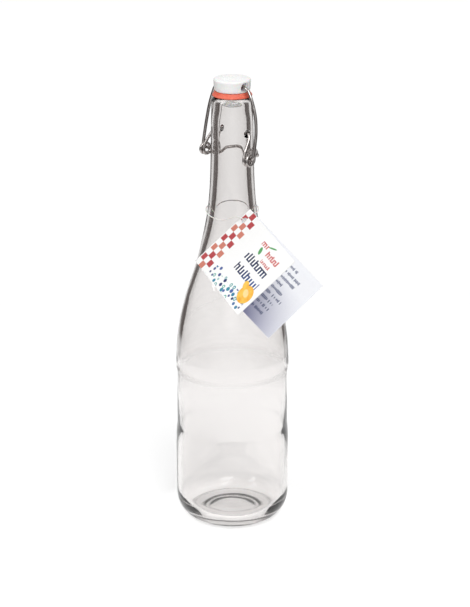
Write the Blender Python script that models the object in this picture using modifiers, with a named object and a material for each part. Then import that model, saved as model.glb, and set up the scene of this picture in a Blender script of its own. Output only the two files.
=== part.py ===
"""Swing-top lemonade bottle with a wire closure and a folded card hung on a thread.

Units are metres, +Z is up. The origin is at the centre of the base, on the bottle's axis.
The closure swings about an axis along X: the thumb lever lies against the back of the
neck, on +Y, and the lever's eyes sit a little to -Y of the pivots, past dead centre.
"""

import math

import bpy
from mathutils import Matrix, Vector

MM = 0.001
GAP = 0.3 * MM

# Bottle
BODY_RADIUS = 40.0 * MM
PANEL_RADIUS = 39.3 * MM
PANEL_BOTTOM = 70.0 * MM
PANEL_TOP = 112.0 * MM
LIP_HEIGHT = 310.0 * MM
LIP_RADIUS = 14.3 * MM
BORE_RADIUS = 9.9 * MM
MOUTH_RADIUS = 8.8 * MM
HEEL_HEIGHT = 17.5 * MM
HEEL_WIDTH = 15.5 * MM
REST_RING_WIDTH = 3.5 * MM
PUSH_UP = 3.4 * MM
CAVITY_RADIUS = 36.8 * MM
CAVITY_FLOOR = 5.4 * MM
GLASS_SEGMENTS = 48

# Closure
PIVOT_HEIGHT = 286.0 * MM
PIN_TIP = 12.5 * MM
DIMPLE_RADIUS = 3.0 * MM
DIMPLE_FLOOR = 12.0 * MM
WIRE_RADIUS = 1.1 * MM
EYE_Y = -4.6 * MM
EYE_HEIGHT = 269.8 * MM
EYE_RADIUS = 3.6 * MM
EYE_INNER_X = 19.8 * MM
EYE_OUTER_X = 22.9 * MM
BAIL_PIN_RISE = 0.95 * MM
BAIL_BOW = 1.8 * MM
HOLE_HEIGHT = 318.0 * MM
HANDLE_RADIUS = 16.6 * MM
HANDLE_HEIGHT = 270.6 * MM
TAB_REACH = 23.4 * MM
TAB_HEIGHT = 263.0 * MM

# Stopper and gasket
STOPPER_TOP = 323.2 * MM
STOPPER_RADIUS = 12.9 * MM
HEAD_UNDERSIDE = 314.3 * MM
PLUG_RADIUS = 7.5 * MM
PLUG_TOP = 310.4 * MM
PLUG_BOTTOM = 303.7 * MM
STEM_RADIUS = 5.2 * MM
CROSS_HOLE_RADIUS = 2.1 * MM
CROSS_HOLE_MOUTH = 3.6 * MM
GASKET_RADIUS = 13.75 * MM
GASKET_BOTTOM = PLUG_TOP + GAP
GASKET_TOP = HEAD_UNDERSIDE - GAP

# Folded card and thread
CARD_AZIMUTH = 46.0
CARD_LEAN = 13.7
CARD_TURN = 46.7
CARD_WIDTH = 52.0 * MM
CARD_LENGTH = 73.0 * MM
CARD_THICKNESS = 0.4 * MM
CARD_CORNER_RADIUS = 1.0 * MM
CARD_OPEN_ANGLE = 54.5
FOLD_OFFSET = 0.35 * MM
FOLD_START = 0.4 * MM
CORNER_SIDE = 12.8 * MM
CORNER_HEIGHT = 234.2 * MM
CARD_STANDOFF = 20.4 * MM
CARD_STANDOFF_HEIGHT = 222.0 * MM
HOLE_FROM_TOP = 8.2 * MM
HOLE_FROM_FOLD = 4.3 * MM
HOLE_RADIUS = 2.2 * MM
THREAD_RADIUS = 0.45 * MM
KNOT_RADIUS = 1.2 * MM

MODEL_COLLECTION = "swing_top_bottle"


def clear_scene():
    for item in list(bpy.data.objects):
        bpy.data.objects.remove(item, do_unlink=True)


def new_collection(name):
    collection = bpy.data.collections.new(name)
    bpy.context.scene.collection.children.link(collection)
    return collection


def make_material(name, colour, roughness, metallic=0.0, transmission=0.0):
    material = bpy.data.materials.new(name)
    material.use_nodes = True
    shader = material.node_tree.nodes["Principled BSDF"]
    shader.inputs["Base Color"].default_value = (*colour, 1.0)
    shader.inputs["Roughness"].default_value = roughness
    shader.inputs["Metallic"].default_value = metallic
    shader.inputs["Transmission Weight"].default_value = transmission
    return material


def add_object(name, data, collection, material=None):
    item = bpy.data.objects.new(name, data)
    collection.objects.link(item)
    if material:
        data.materials.append(material)
    return item


def arc(centre_r, centre_z, radius_r, radius_z, start, end, steps):
    """Points (r, z) of an elliptical arc, angles in degrees from +r towards +z."""
    points = []
    for i in range(steps + 1):
        angle = math.radians(start + (end - start) * i / steps)
        points.append((centre_r + radius_r * math.cos(angle), centre_z + radius_z * math.sin(angle)))
    return points


def smooth_route(points, spacing):
    """Points about `spacing` apart on a smooth curve through the given points."""
    knots = [Vector(p) for p in points]
    knots = [2 * knots[0] - knots[1]] + knots + [2 * knots[-1] - knots[-2]]
    route = []
    for p0, p1, p2, p3 in zip(knots, knots[1:], knots[2:], knots[3:]):
        t1 = (p1 - p0).length ** 0.5
        t2 = t1 + (p2 - p1).length ** 0.5
        t3 = t2 + (p3 - p2).length ** 0.5
        steps = max(1, round((p2 - p1).length / spacing))
        for i in range(steps):
            t = t1 + (t2 - t1) * i / steps
            a1 = p0.lerp(p1, t / t1)
            a2 = p1.lerp(p2, (t - t1) / (t2 - t1))
            a3 = p2.lerp(p3, (t - t2) / (t3 - t2))
            b1 = a1.lerp(a2, t / t2)
            b2 = a2.lerp(a3, (t - t1) / (t3 - t1))
            route.append(b1.lerp(b2, (t - t1) / (t2 - t1)))
    return route + [knots[-2]]


def turned(name, outline, segments, collection, material=None, closed=False):
    """A turned solid: (r, z) points spun about Z by a Screw modifier."""
    edges = [(i, i + 1) for i in range(len(outline) - 1)]
    if closed:
        edges.append((len(outline) - 1, 0))
    mesh = bpy.data.meshes.new(name)
    mesh.from_pydata([(r, 0.0, z) for r, z in outline], edges, [])
    item = add_object(name, mesh, collection, material)
    screw = item.modifiers.new("turn", "SCREW")
    screw.axis = "Z"
    screw.angle = 2 * math.pi
    screw.steps = segments
    screw.render_steps = segments
    screw.use_merge_vertices = True
    screw.merge_threshold = 0.00001
    screw.use_smooth_shade = True
    return item


def wire(name, points, radius, collection, material):
    """A round wire with filled ends along a poly line."""
    curve = bpy.data.curves.new(name, "CURVE")
    curve.dimensions = "3D"
    curve.bevel_depth = radius
    curve.bevel_resolution = 2
    curve.use_fill_caps = True
    spline = curve.splines.new("POLY")
    spline.points.add(len(points) - 1)
    for target, point in zip(spline.points, points):
        target.co = (*point, 1.0)
    return add_object(name, curve, collection, material)


def cut(item, cutter):
    """Take the cutter away from the item with an exact Boolean."""
    boolean = item.modifiers.new("cut_" + cutter.name, "BOOLEAN")
    boolean.operation = "DIFFERENCE"
    boolean.solver = "EXACT"
    boolean.object = cutter
    cutter.hide_render = True
    cutter.display_type = "WIRE"


def outer_outline():
    """The bottle's outside from the lip down to the middle of the base."""
    lip_round = 3.2 * MM
    points = arc(LIP_RADIUS - lip_round, LIP_HEIGHT - lip_round, lip_round, lip_round, 90, 0, 4)
    neck_and_shoulder = [
        (LIP_RADIUS, LIP_HEIGHT - lip_round),
        (14.6 * MM, 292 * MM),
        (14.9 * MM, 272 * MM),
        (15.7 * MM, 246 * MM),
        (17.5 * MM, 227 * MM),
        (20.8 * MM, 210 * MM),
        (25.2 * MM, 191 * MM),
        (31.5 * MM, 171 * MM),
        (36.2 * MM, 153 * MM),
        (39.0 * MM, 135 * MM),
        (BODY_RADIUS, 120 * MM),
    ]
    points += [(p.x, p.y) for p in smooth_route([(r, z, 0) for r, z in neck_and_shoulder], 10 * MM)][1:]
    points += [
        (PANEL_RADIUS, PANEL_TOP),
        (PANEL_RADIUS, PANEL_BOTTOM),
        (BODY_RADIUS, PANEL_BOTTOM - 6 * MM),
    ]
    points += arc(BODY_RADIUS - HEEL_WIDTH, HEEL_HEIGHT, HEEL_WIDTH, HEEL_HEIGHT, 0, -90, 7)
    rest_inner = BODY_RADIUS - HEEL_WIDTH - REST_RING_WIDTH
    points.append((rest_inner, 0.0))
    for share in (0.85, 0.5, 0.0):
        points.append((rest_inner * share, PUSH_UP * math.cos(share * math.pi / 2)))
    return points


def inner_outline():
    """The cavity from the middle of its floor up to the lip."""
    mouth_round = 1.6 * MM
    floor_corner = 14.0 * MM
    corner_height = 15.0 * MM
    points = [(0.0, CAVITY_FLOOR + 1.6 * MM), (11 * MM, CAVITY_FLOOR + 1.0 * MM)]
    centre_r = CAVITY_RADIUS - floor_corner
    points += arc(centre_r, CAVITY_FLOOR + corner_height, floor_corner, corner_height, -90, 0, 6)
    walls = [
        (CAVITY_RADIUS, 122 * MM),
        (35.6 * MM, 137 * MM),
        (32.7 * MM, 154 * MM),
        (27.8 * MM, 172 * MM),
        (21.0 * MM, 192 * MM),
        (15.6 * MM, 211 * MM),
        (12.4 * MM, 228 * MM),
        (10.6 * MM, 247 * MM),
        (BORE_RADIUS, 266 * MM),
        (BORE_RADIUS, 291 * MM),
        (MOUTH_RADIUS, 301 * MM),
        (MOUTH_RADIUS, LIP_HEIGHT - mouth_round),
    ]
    points += [(p.x, p.y) for p in smooth_route([(r, z, 0) for r, z in walls], 13 * MM)][:-1]
    points += arc(MOUTH_RADIUS + mouth_round, LIP_HEIGHT - mouth_round, mouth_round, mouth_round, 180, 90, 3)
    return points


def build_bottle(collection, cutters, material):
    bottle = turned("glass_bottle", inner_outline() + outer_outline(), GLASS_SEGMENTS, collection, material)
    for side, label in ((1, "right"), (-1, "left")):
        depth = LIP_RADIUS + 1.5 * MM - DIMPLE_FLOOR
        bpy.ops.mesh.primitive_cone_add(
            vertices=20, radius1=DIMPLE_RADIUS + 0.6 * MM, radius2=1.5 * MM, depth=depth,
            location=(side * (DIMPLE_FLOOR + depth / 2), 0, PIVOT_HEIGHT),
            rotation=(0, -side * math.pi / 2, 0))
        cutter = bpy.context.object
        cutter.name = "dimple_cutter_" + label
        for owner in list(cutter.users_collection):
            owner.objects.unlink(cutter)
        cutters.objects.link(cutter)
        cut(bottle, cutter)
    return bottle


def build_stopper(collection, cutters, material):
    edge = 1.1 * MM
    side_top = STOPPER_TOP - 0.7 * MM - edge
    outline = [(0.0, STOPPER_TOP), (6.5 * MM, STOPPER_TOP - 0.15 * MM)]
    outline += arc(STOPPER_RADIUS - edge, side_top, edge, edge + 0.1 * MM, 85, 0, 3)
    outline += [
        (12.75 * MM, 319.0 * MM),
        (12.4 * MM, 315.4 * MM),
        (11.7 * MM, HEAD_UNDERSIDE),
        (STEM_RADIUS, HEAD_UNDERSIDE),
        (STEM_RADIUS, PLUG_TOP),
        (PLUG_RADIUS, PLUG_TOP),
        (PLUG_RADIUS, PLUG_BOTTOM + 2.2 * MM),
    ]
    outline += arc(PLUG_RADIUS - 2.2 * MM, PLUG_BOTTOM + 2.2 * MM, 2.2 * MM, 2.2 * MM, -25, -90, 3)
    outline.append((0.0, PLUG_BOTTOM))
    stopper = turned("stopper_head", outline, GLASS_SEGMENTS, collection, material)
    reach = STOPPER_RADIUS + 1.5 * MM
    hole = [
        (0.0, reach), (CROSS_HOLE_MOUTH + 0.8 * MM, reach), (CROSS_HOLE_MOUTH, STOPPER_RADIUS - 0.6 * MM),
        (CROSS_HOLE_RADIUS + 0.5 * MM, 9.5 * MM), (CROSS_HOLE_RADIUS, 7.0 * MM), (CROSS_HOLE_RADIUS, -7.0 * MM),
        (CROSS_HOLE_RADIUS + 0.5 * MM, -9.5 * MM), (CROSS_HOLE_MOUTH, -STOPPER_RADIUS + 0.6 * MM),
        (CROSS_HOLE_MOUTH + 0.8 * MM, -reach), (0.0, -reach),
    ]
    cutter = turned("cross_hole_cutter", hole, 20, cutters)
    cutter.rotation_euler = (0, math.pi / 2, 0)
    cutter.location = (0, 0, HOLE_HEIGHT)
    cut(stopper, cutter)
    return stopper


def build_gasket(collection, material):
    inner = STEM_RADIUS + GAP
    outline = [
        (inner, GASKET_TOP), (11.6 * MM, GASKET_TOP), (12.2 * MM, GASKET_TOP - 0.4 * MM),
        (12.7 * MM, GASKET_TOP - 1.6 * MM), (GASKET_RADIUS - 0.1 * MM, GASKET_BOTTOM + 0.7 * MM),
        (GASKET_RADIUS, GASKET_BOTTOM + 0.25 * MM), (GASKET_RADIUS - 0.5 * MM, GASKET_BOTTOM),
        (inner, GASKET_BOTTOM),
    ]
    return turned("stopper_gasket", outline, GLASS_SEGMENTS, collection, material, closed=True)


def mirrored_ends(half):
    """A full route from its +X half, which starts at the middle plane."""
    return [(-x, y, z) for x, y, z in reversed(half)] + [(x, y, z) for x, y, z in half[1:]]


def bail_route():
    """The wire that passes through the stopper and hooks inwards into the lever's eyes."""
    foot = Vector((0, EYE_Y, EYE_HEIGHT + BAIL_PIN_RISE))
    head = Vector((0, 0, HOLE_HEIGHT))
    rise = head - foot
    length = rise.length
    leg = [
        (0.0, length), (6.0 * MM, length), (11.4 * MM, length), (14.2 * MM, length - 0.7 * MM),
        (17.1 * MM, length - 4.2 * MM), (19.7 * MM, length - 9.6 * MM), (22.6 * MM, length - 18 * MM),
        (24.4 * MM, length - 29 * MM), (24.8 * MM, length - 37 * MM), (24.8 * MM, 4.2 * MM),
        (24.6 * MM, 1.7 * MM), (23.9 * MM, 0.35 * MM), (22.6 * MM, 0.0), (17.9 * MM, 0.0),
    ]
    along = rise.normalized()
    across = Vector((0, along.z, -along.y))
    half = smooth_route([(x, up, BAIL_BOW * math.sin(math.pi * up / length)) for x, up in leg], 2.2 * MM)
    return mirrored_ends([tuple(foot + Vector((p.x, 0, 0)) + along * p.y + across * p.z) for p in half])


def eye_turns(steps_per_turn=14):
    """The lever's open coil on the +X side, entered from above on its -Y side."""
    start, end = -20, 430
    count = round((end - start) / 360 * steps_per_turn)
    points = []
    for i in range(count + 1):
        angle = math.radians(start + (end - start) * i / count)
        x = EYE_INNER_X + (EYE_OUTER_X - EYE_INNER_X) * min(1.0, max(0.0, (i / count - 0.1) / 0.75))
        points.append((x, EYE_Y - EYE_RADIUS * math.cos(angle), EYE_HEIGHT - EYE_RADIUS * math.sin(angle)))
    return points


def lever_route():
    """The thumb lever: handle round the back of the neck, eyes, legs and pivot pins."""
    handle = [(0.0, TAB_REACH, TAB_HEIGHT), (1.5 * MM, TAB_REACH - 0.5 * MM, TAB_HEIGHT + 0.6 * MM)]
    handle += [(2.6 * MM, 20.4 * MM, 266.6 * MM), (3.7 * MM, 17.4 * MM, 269.6 * MM)]
    for azimuth in (66, 50, 34, 22):
        turn = math.radians(azimuth)
        height = HANDLE_HEIGHT - (66 - azimuth) * 0.02 * MM
        handle.append((HANDLE_RADIUS * math.cos(turn) + 0.2 * MM, HANDLE_RADIUS * math.sin(turn), height))
    handle.append((18.6 * MM, 2.6 * MM, 267.3 * MM))
    handle.append((20.8 * MM, -1.0 * MM, 266.4 * MM))
    handle = smooth_route(handle, 2.2 * MM)
    pin = [
        (19.2 * MM, EYE_Y - 1.6 * MM, 276.0 * MM), (17.6 * MM, -1.0 * MM, PIVOT_HEIGHT - 2.8 * MM),
        (17.0 * MM, -0.25 * MM, PIVOT_HEIGHT - 0.9 * MM), (16.0 * MM, 0.0, PIVOT_HEIGHT),
        (14.8 * MM, 0.0, PIVOT_HEIGHT), (PIN_TIP, 0.0, PIVOT_HEIGHT),
    ]
    coil = list(reversed(eye_turns()))
    leg = smooth_route([coil[-1]] + pin, 2.2 * MM)[1:]
    half = [tuple(p) for p in handle] + coil + [tuple(p) for p in leg]
    return mirrored_ends(half)


def card_frame():
    """The card's corner and its axes: along the leaf, down the fold, and out of its face."""
    azimuth = math.radians(CARD_AZIMUTH)
    lean = math.radians(CARD_LEAN)
    turn = math.radians(CARD_TURN)
    right = Vector((math.cos(azimuth), math.sin(azimuth), 0))
    towards = Vector((math.sin(azimuth), -math.cos(azimuth), 0))
    up = Vector((0, 0, 1))
    standoff = CARD_STANDOFF - (CORNER_HEIGHT - CARD_STANDOFF_HEIGHT) * math.tan(lean)
    corner = right * CORNER_SIDE + towards * standoff + up * CORNER_HEIGHT
    rising = up * math.cos(lean) - towards * math.sin(lean)
    outward = towards * math.cos(lean) + up * math.sin(lean)
    along = right * math.cos(turn) - rising * math.sin(turn)
    down_fold = -right * math.sin(turn) - rising * math.cos(turn)
    return corner, along, down_fold, outward


def leaf_mesh(name):
    """One leaf in card axes: x along the leaf, y down the fold, z out of the back leaf's face."""
    radius = CARD_CORNER_RADIUS
    outline = [(FOLD_START, 0.0)]
    for centre_y, start in ((radius, -90), (CARD_WIDTH - radius, 0)):
        for i in range(5):
            angle = math.radians(start + 22.5 * i)
            outline.append((CARD_LENGTH - radius + radius * math.cos(angle), centre_y + radius * math.sin(angle)))
    outline.append((FOLD_START, CARD_WIDTH))
    hole = []
    for i in range(16):
        angle = -2 * math.pi * i / 16
        hole.append((HOLE_FROM_FOLD + HOLE_RADIUS * math.cos(angle), HOLE_FROM_TOP + HOLE_RADIUS * math.sin(angle)))
    curve = bpy.data.curves.new(name, "CURVE")
    curve.dimensions = "2D"
    curve.fill_mode = "BOTH"
    curve.extrude = CARD_THICKNESS / 2
    for ring in (outline, hole):
        spline = curve.splines.new("POLY")
        spline.points.add(len(ring) - 1)
        spline.use_cyclic_u = True
        for target, (x, y) in zip(spline.points, ring):
            target.co = (x, y, 0.0, 1.0)
    return curve


def leaf_matrix(open_angle, offset):
    """Places a leaf that is turned by open_angle about the fold axis."""
    corner, along, down_fold, outward = card_frame()
    angle = math.radians(open_angle)
    direction = along * math.cos(angle) + outward * math.sin(angle)
    normal = outward * math.cos(angle) - along * math.sin(angle)
    axis_point = corner + outward * FOLD_OFFSET
    origin = axis_point + normal * offset
    return Matrix((
        (direction.x, down_fold.x, normal.x, origin.x),
        (direction.y, down_fold.y, normal.y, origin.y),
        (direction.z, down_fold.z, normal.z, origin.z),
        (0, 0, 0, 1)))


def build_card(collection, material):
    leaves = (("tag_back_leaf", 0.0, -FOLD_OFFSET), ("tag_front_leaf", CARD_OPEN_ANGLE, FOLD_OFFSET))
    for name, angle, offset in leaves:
        leaf = add_object(name, leaf_mesh(name), collection, material)
        leaf.matrix_world = leaf_matrix(angle, offset)


def card_point(along_leaf, down, out):
    corner, along, down_fold, outward = card_frame()
    return corner + along * along_leaf + down_fold * down + outward * out


def knot_centre():
    return card_point(HOLE_FROM_FOLD + 0.4 * MM, HOLE_FROM_TOP, -2.3 * MM)


def neck_point(azimuth, height, radius):
    turn = math.radians(azimuth)
    return Vector((radius * math.sin(turn), -radius * math.cos(turn), height))


def thread_route():
    """From the knot round the neck, over the fold, through both holes and back to the knot."""
    knot = knot_centre()
    ring = [
        (CARD_AZIMUTH + 52, 228.2, 18.7), (CARD_AZIMUTH + 80, 229.3, 18.2), (CARD_AZIMUTH + 110, 230.4, 18.0),
        (CARD_AZIMUTH + 145, 231.3, 17.9), (CARD_AZIMUTH + 180, 231.5, 17.9), (CARD_AZIMUTH + 215, 231.0, 17.9),
        (CARD_AZIMUTH + 250, 229.8, 18.1), (CARD_AZIMUTH + 280, 228.6, 18.3), (CARD_AZIMUTH + 310, 227.4, 18.6),
        (CARD_AZIMUTH + 337, 226.8, 19.4),
    ]
    route = [knot + card_offset(1.7, -0.6, 0.0), knot + card_offset(3.4, -1.6, -0.6)]
    route += [neck_point(azimuth, height * MM, radius * MM) for azimuth, height, radius in ring]
    loop = []
    for angle, down in ((150, 2.6), (120, 1.0), (90, 0.2), (60, 0.0), (30, 0.0), (5, 0.0)):
        turn = math.radians(angle)
        along_leaf = HOLE_FROM_FOLD * math.cos(turn)
        out = FOLD_OFFSET + HOLE_FROM_FOLD * math.sin(turn)
        loop.append(card_point(along_leaf, HOLE_FROM_TOP + down * MM, out))
    route += loop
    route.append(knot + card_offset(-0.1, 0.0, 1.55))
    return smooth_route(route, 2.0 * MM)


def card_offset(along_leaf, down, out):
    _, along, down_fold, outward = card_frame()
    return (along * along_leaf + down_fold * down + outward * out) * MM


def build_thread(collection, material):
    wire("tag_thread", thread_route(), THREAD_RADIUS, collection, material)
    bpy.ops.mesh.primitive_uv_sphere_add(segments=14, ring_count=8, radius=KNOT_RADIUS, location=knot_centre())
    knot = bpy.context.object
    knot.name = "thread_knot"
    knot.data.materials.append(material)
    for owner in list(knot.users_collection):
        owner.objects.unlink(knot)
    collection.objects.link(knot)


def main():
    clear_scene()
    parts = new_collection(MODEL_COLLECTION)
    cutters = new_collection("cutters")
    glass = make_material("clear_glass", (0.93, 0.96, 0.94), 0.02, transmission=1.0)
    white = make_material("white_plastic", (0.88, 0.88, 0.86), 0.25)
    rubber = make_material("orange_rubber", (0.75, 0.14, 0.06), 0.5)
    steel = make_material("steel_wire", (0.62, 0.61, 0.60), 0.22, metallic=1.0)
    card = make_material("white_card", (0.9, 0.9, 0.88), 0.55)
    thread = make_material("white_thread", (0.9, 0.88, 0.86), 0.5)
    build_bottle(parts, cutters, glass)
    build_stopper(parts, cutters, white)
    build_gasket(parts, rubber)
    wire("bail_wire", bail_route(), WIRE_RADIUS, parts, steel)
    wire("lever_wire", lever_route(), WIRE_RADIUS, parts, steel)
    build_card(parts, card)
    build_thread(parts, thread)


main()
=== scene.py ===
"""Looks for the swing-top bottle: clear glass, wire closure, stopper, thread and printed card.

Every size is in metres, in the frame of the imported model. Lengths written with MM are millimetres.
"""

import math

import bmesh
import bpy
from mathutils import Matrix, Vector, noise

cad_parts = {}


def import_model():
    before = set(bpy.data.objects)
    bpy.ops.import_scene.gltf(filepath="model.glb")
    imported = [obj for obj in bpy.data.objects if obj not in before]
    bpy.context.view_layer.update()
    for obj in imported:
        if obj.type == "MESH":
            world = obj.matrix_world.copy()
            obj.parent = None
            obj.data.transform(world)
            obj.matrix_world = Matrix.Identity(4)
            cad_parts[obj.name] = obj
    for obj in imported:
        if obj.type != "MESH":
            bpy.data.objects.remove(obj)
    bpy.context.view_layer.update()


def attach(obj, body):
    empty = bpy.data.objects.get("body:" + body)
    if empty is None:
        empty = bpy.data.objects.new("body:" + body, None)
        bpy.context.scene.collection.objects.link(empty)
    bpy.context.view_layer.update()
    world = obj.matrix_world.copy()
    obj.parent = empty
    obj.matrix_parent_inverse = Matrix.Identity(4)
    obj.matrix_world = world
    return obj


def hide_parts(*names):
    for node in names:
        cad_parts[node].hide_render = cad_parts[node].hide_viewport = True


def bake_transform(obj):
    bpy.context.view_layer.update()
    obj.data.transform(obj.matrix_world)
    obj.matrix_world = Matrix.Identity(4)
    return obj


MM = 0.001

# Bottle
GLASS_SEGMENTS = 288
GLASS_TINT = (0.945, 0.935, 0.93, 1.0)
GLASS_DEPTH_COLOUR = (0.5, 0.44, 0.41, 1.0)
GLASS_DEPTH_DENSITY = 20.0
BODY_RADIUS = 40.0 * MM
PANEL_RADIUS = 39.3 * MM
PANEL_BOTTOM = 70.0 * MM
PANEL_TOP = 112.0 * MM
LIP_HEIGHT = 310.0 * MM
LIP_RADIUS = 14.3 * MM
BORE_RADIUS = 9.9 * MM
MOUTH_RADIUS = 8.8 * MM
HEEL_HEIGHT = 17.5 * MM
HEEL_WIDTH = 15.5 * MM
REST_RING_WIDTH = 3.5 * MM
PUSH_UP = 3.4 * MM
CAVITY_RADIUS = 36.8 * MM
CAVITY_FLOOR = 5.4 * MM
CAVITY_CORNER_WIDTH = 14.0 * MM
CAVITY_CORNER_HEIGHT = 15.0 * MM
WALL_DRIFT = 0.28 * MM
FLOOR_SWIRL = 0.35 * MM
PIVOT_HEIGHT = 286.0 * MM
NECK_RADIUS_AT_PIVOT = 14.75 * MM
DIMPLE_RADIUS = 3.0 * MM
DIMPLE_FLOOR_RADIUS = 1.5 * MM
DIMPLE_FLOOR = 12.0 * MM

# Knurling under the base: inner radius, outer radius and phase of each ring of teeth
KNURL_BANDS = ((17.2 * MM, 20.6 * MM, 0.0), (28.8 * MM, 32.0 * MM, math.pi))
KNURL_TEETH = 72
KNURL_DEPTH = 0.9 * MM
KNURL_EDGE = 0.8 * MM

# Closure
WIRE_RADIUS = 1.1 * MM
PIN_TIP = 12.5 * MM
EYE_Y = -4.6 * MM
EYE_HEIGHT = 269.8 * MM
EYE_RADIUS = 3.6 * MM
EYE_INNER_X = 19.8 * MM
EYE_OUTER_X = 22.9 * MM
BAIL_PIN_RISE = 0.95 * MM
BAIL_BOW = 1.8 * MM
HOLE_HEIGHT = 318.0 * MM
HANDLE_RADIUS = 16.6 * MM
HANDLE_HEIGHT = 270.6 * MM
TAB_REACH = 23.4 * MM
TAB_HEIGHT = 263.0 * MM
STOPPER_TOP = 323.2 * MM
STOPPER_RADIUS = 12.9 * MM
HEAD_UNDERSIDE = 314.3 * MM
STEM_RADIUS = 5.2 * MM
PLUG_RADIUS = 7.5 * MM
PLUG_TOP = 310.4 * MM
PLUG_BOTTOM = 303.7 * MM
CROSS_HOLE_RADIUS = 2.1 * MM
CROSS_HOLE_MOUTH = 3.6 * MM
GASKET_RADIUS = 13.75 * MM
GASKET_BOTTOM = PLUG_TOP + 0.3 * MM
GASKET_TOP = HEAD_UNDERSIDE - 0.3 * MM

# Folded card and thread
CARD_AZIMUTH = 46.0
CARD_LEAN = 13.7
CARD_TURN = 46.7
CARD_WIDTH = 52.0 * MM
CARD_LENGTH = 73.0 * MM
CARD_THICKNESS = 0.4 * MM
CARD_CORNER_RADIUS = 1.0 * MM
CARD_OPEN_ANGLE = 54.5
FOLD_OFFSET = 0.35 * MM
FOLD_START = 0.4 * MM
CORNER_SIDE = 12.8 * MM
CORNER_HEIGHT = 234.2 * MM
CARD_STANDOFF = 20.4 * MM
CARD_STANDOFF_HEIGHT = 222.0 * MM
HOLE_FROM_TOP = 8.2 * MM
HOLE_FROM_FOLD = 4.3 * MM
HOLE_RADIUS = 2.2 * MM
THREAD_RADIUS = 0.45 * MM

# Camera and studio
CAMERA_AZIMUTH = 46.0
CAMERA_DISTANCE = 1.537
CAMERA_HEIGHT = 0.707
CAMERA_PITCH = 19.6
CAMERA_SIDESTEP = 1.9 * MM
CAMERA_LENS = 137.4
FLOOR_RADIUS = 0.55
FLOOR_FADE_START = 0.3
FLOOR_GLOW = 0.2
# Glow of the floor in a painted pool of light round the bottle's base
PAINTED_LIGHT_POOL_GLOW = 0.5
SWEEP_WHITE = (1.02, 1.02, 1.02)
ROOM_DARK = (0.13, 0.115, 0.11)
ROOM_OVERHEAD = (0.8, 0.8, 0.8)
LIGHTS_AIM_HEIGHT = 160.0 * MM
# Each softbox: azimuth from the camera's, elevation, distance, width, height and power
SOFTBOXES = {
    "key_softbox": (18, 46, 1.3, 0.6, 0.7, 7.0),
    "fill_softbox": (-62, 34, 1.4, 0.3, 0.9, 4.5),
}


# ---------------------------------------------------------------- curves and meshes


def arc(centre_r, centre_z, radius_r, radius_z, start, end, steps):
    """Points (r, z) of an elliptical arc, angles in degrees from +r towards +z."""
    points = []
    for i in range(steps + 1):
        angle = math.radians(start + (end - start) * i / steps)
        points.append((centre_r + radius_r * math.cos(angle), centre_z + radius_z * math.sin(angle)))
    return points


def smooth_route(points, spacing):
    """Points about `spacing` apart on a smooth curve through the given points."""
    knots = [Vector(p) for p in points]
    knots = [2 * knots[0] - knots[1]] + knots + [2 * knots[-1] - knots[-2]]
    route = []
    for p0, p1, p2, p3 in zip(knots, knots[1:], knots[2:], knots[3:]):
        t1 = (p1 - p0).length ** 0.5
        t2 = t1 + (p2 - p1).length ** 0.5
        t3 = t2 + (p3 - p2).length ** 0.5
        steps = max(1, round((p2 - p1).length / spacing))
        for i in range(steps):
            t = t1 + (t2 - t1) * i / steps
            a1 = p0.lerp(p1, t / t1)
            a2 = p1.lerp(p2, (t - t1) / (t2 - t1))
            a3 = p2.lerp(p3, (t - t2) / (t3 - t2))
            b1 = a1.lerp(a2, t / t2)
            b2 = a2.lerp(a3, (t - t1) / (t3 - t1))
            route.append(b1.lerp(b2, (t - t1) / (t2 - t1)))
    return route + [knots[-2]]


def smooth_profile(points, spacing):
    """The same as smooth_route, for points (r, z)."""
    return [(p.x, p.y) for p in smooth_route([(r, z, 0) for r, z in points], spacing)]


def spaced(points, spacing):
    """The same line with extra points, so that no two are further apart than `spacing`."""
    dense = [Vector(points[0])]
    for start, end in zip(points, points[1:]):
        start, end = Vector(start), Vector(end)
        steps = max(1, math.ceil((end - start).length / spacing))
        dense += [start.lerp(end, (i + 1) / steps) for i in range(steps)]
    return dense


def smoothstep(low, high, x):
    t = min(1.0, max(0.0, (x - low) / (high - low)))
    return t * t * (3 - 2 * t)


def mesh_object(name, vertices, faces):
    mesh = bpy.data.meshes.new(name)
    mesh.from_pydata([tuple(v) for v in vertices], [], faces)
    mesh.validate()
    mesh.shade_smooth()
    item = bpy.data.objects.new(name, mesh)
    bpy.context.scene.collection.objects.link(item)
    return item


def recalculate_normals(item):
    shape = bmesh.new()
    shape.from_mesh(item.data)
    bmesh.ops.recalc_face_normals(shape, faces=shape.faces)
    shape.to_mesh(item.data)
    shape.free()


def lathe(name, outline, segments, shape=None, closed=False):
    """A turned body. `shape` may move each point (x, y, z, place on the outline)."""
    vertices, rings, faces = [], [], []
    for place, (r, z) in enumerate(outline):
        count = 1 if r < 1e-7 else segments
        ring = []
        for i in range(count):
            angle = 2 * math.pi * i / segments
            point = Vector((r * math.cos(angle), r * math.sin(angle), z))
            ring.append(len(vertices))
            vertices.append(shape(point, place) if shape else point)
        rings.append(ring)
    pairs = list(zip(rings, rings[1:]))
    if closed:
        pairs.append((rings[-1], rings[0]))
    for upper, lower in pairs:
        for i in range(segments):
            around = ((upper, i), (upper, i + 1), (lower, i + 1), (lower, i))
            corners = [ring[k % len(ring)] for ring, k in around]
            faces.append(tuple(dict.fromkeys(corners)))
    item = mesh_object(name, vertices, faces)
    recalculate_normals(item)
    return item


def wire(name, points, radius):
    curve = bpy.data.curves.new(name, "CURVE")
    curve.dimensions = "3D"
    curve.bevel_depth = radius
    curve.bevel_resolution = 6
    curve.use_fill_caps = True
    spline = curve.splines.new("POLY")
    spline.points.add(len(points) - 1)
    for target, point in zip(spline.points, points):
        target.co = (*point, 1.0)
    spline.use_smooth = True
    item = bpy.data.objects.new(name, curve)
    bpy.context.scene.collection.objects.link(item)
    return item


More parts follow.
